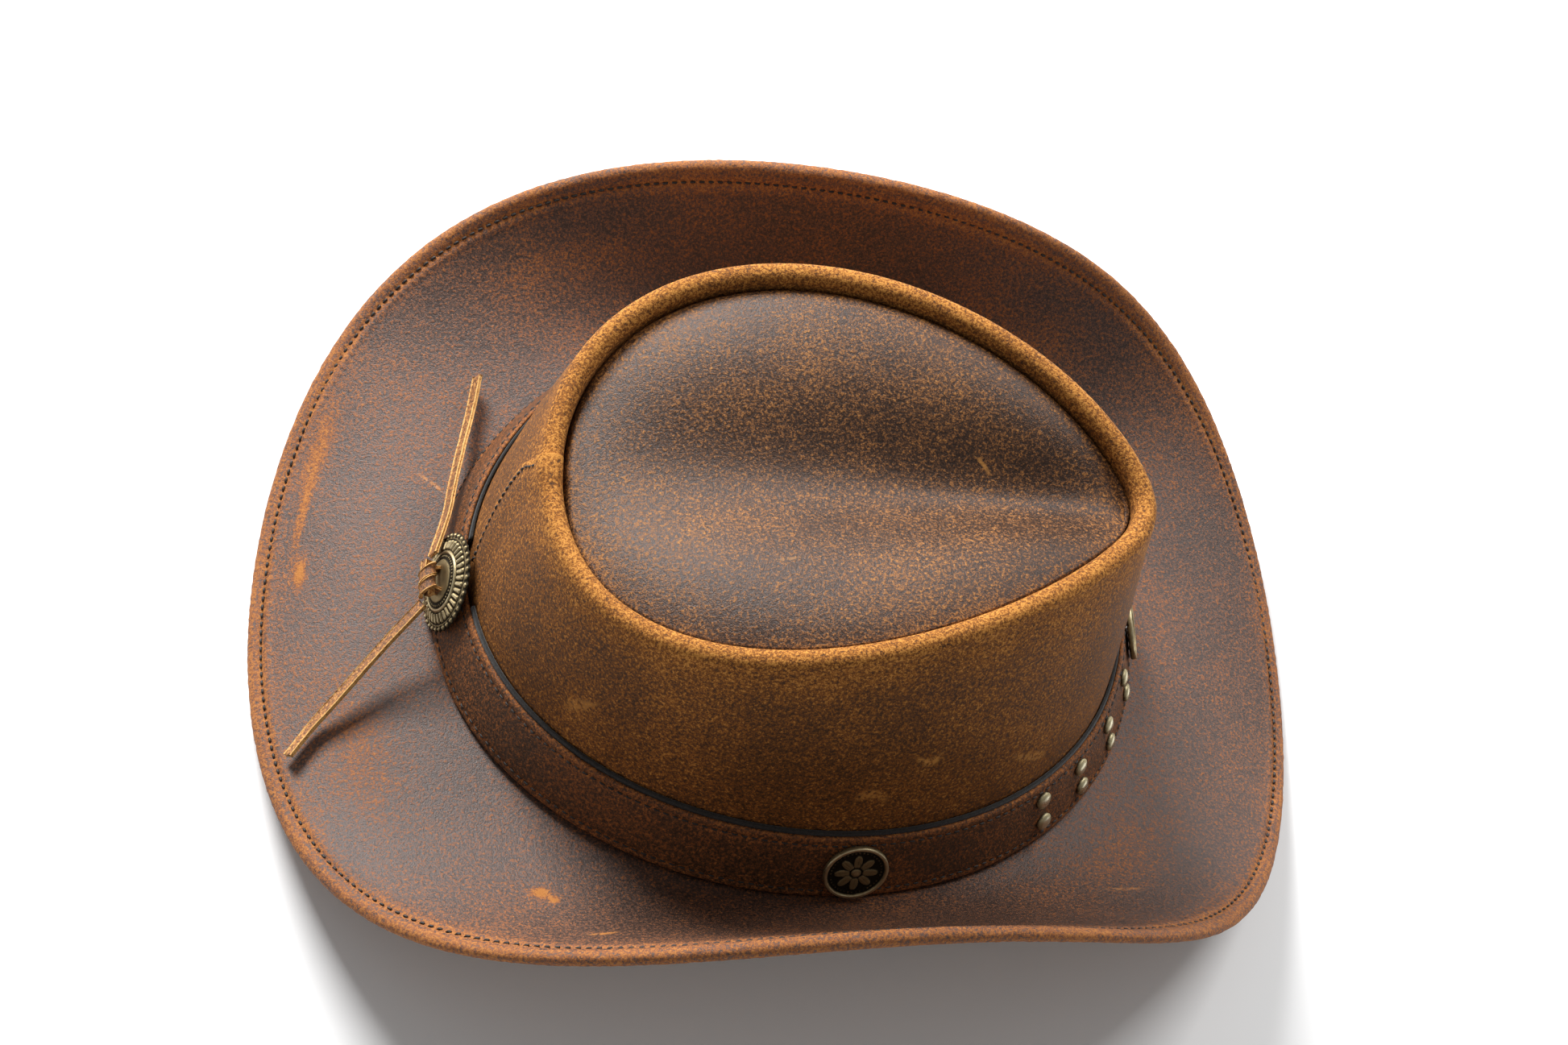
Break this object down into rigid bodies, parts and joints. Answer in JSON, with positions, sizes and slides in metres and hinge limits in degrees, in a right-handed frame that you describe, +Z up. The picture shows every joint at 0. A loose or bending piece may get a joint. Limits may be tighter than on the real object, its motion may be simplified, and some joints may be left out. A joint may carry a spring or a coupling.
{
  "type": "cowboy hat",
  "caption": "Low-crowned leather western hat: turned-up wired brim, pinched teardrop crown, hatband with studs, coin conchos and a laced back concho.",
  "frame": {"origin": "on the surface the hat stands on, under the middle of its brim", "axes": "+X to the front of the hat, +Y to the wearer's left, +Z up"},
  "size_m": [0.3283, 0.2648, 0.1195],
  "materials": {
    "brim_leather": "waxed pull-up leather, worn, satin",
    "crown_leather": "waxed pull-up leather, rubbed to orange-brown, matt",
    "crown_top_leather": "waxed pull-up leather, dark, satin",
    "hatband_leather": "waxed leather strip, stitched, raw edges",
    "backing_leather": "black, matt",
    "sweatband_leather": "thin roan leather, matt",
    "lace_leather": "tan lace with pale raw edges",
    "antique_brass": "antiqued, dark in the recesses, polished on the high spots",
    "stud_brass": "pale brass, polished domes",
    "screw_steel": "nickel-plated",
    "wire_steel": "bright spring wire"
  },
  "bodies": {
    "hat": {"back_concho": "antique_brass", "brim": "brim_leather", "brim_wire": "wire_steel", "crown_side": "crown_leather", "crown_top": "crown_top_leather", "hatband": "hatband_leather", "hatband_backing": "backing_leather", "lace_knot": "lace_leather", "lace_tail_lower": "lace_leather", "lace_tail_upper": "lace_leather", "stud_left_1_lower": "stud_brass", "stud_left_1_upper": "stud_brass", "stud_left_2_lower": "stud_brass", "stud_left_2_upper": "stud_brass", "stud_left_3_lower": "stud_brass", "stud_left_3_upper": "stud_brass", "stud_left_4_lower": "stud_brass", "stud_left_4_upper": "stud_brass", "stud_right_1_lower": "stud_brass", "stud_right_1_upper": "stud_brass", "stud_right_2_lower": "stud_brass", "stud_right_2_upper": "stud_brass", "stud_right_3_lower": "stud_brass", "stud_right_3_upper": "stud_brass", "stud_right_4_lower": "stud_brass", "stud_right_4_upper": "stud_brass", "sweatband": "sweatband_leather"},
    "front_concho": {"front_concho": "antique_brass", "front_concho_screw": "screw_steel"},
    "left_concho": {"left_concho": "antique_brass", "left_concho_screw": "screw_steel"},
    "right_concho": {"right_concho": "antique_brass", "right_concho_screw": "screw_steel"}
  },
  "joints": [
    {"name": "front_concho_turn", "type": "hinge", "parent": "hat", "child": "front_concho", "pos_m": [0.10463, 0, 0.02977], "axis": [0.9283, 0, 0.3718], "continuous": true},
    {"name": "left_concho_turn", "type": "hinge", "parent": "hat", "child": "left_concho", "pos_m": [0.01238, 0.09222, 0.04318], "axis": [0.1226, 0.8954, 0.428], "continuous": true},
    {"name": "right_concho_turn", "type": "hinge", "parent": "hat", "child": "right_concho", "pos_m": [0.01238, -0.09222, 0.04318], "axis": [0.1226, -0.8954, 0.428], "continuous": true}
  ]
}
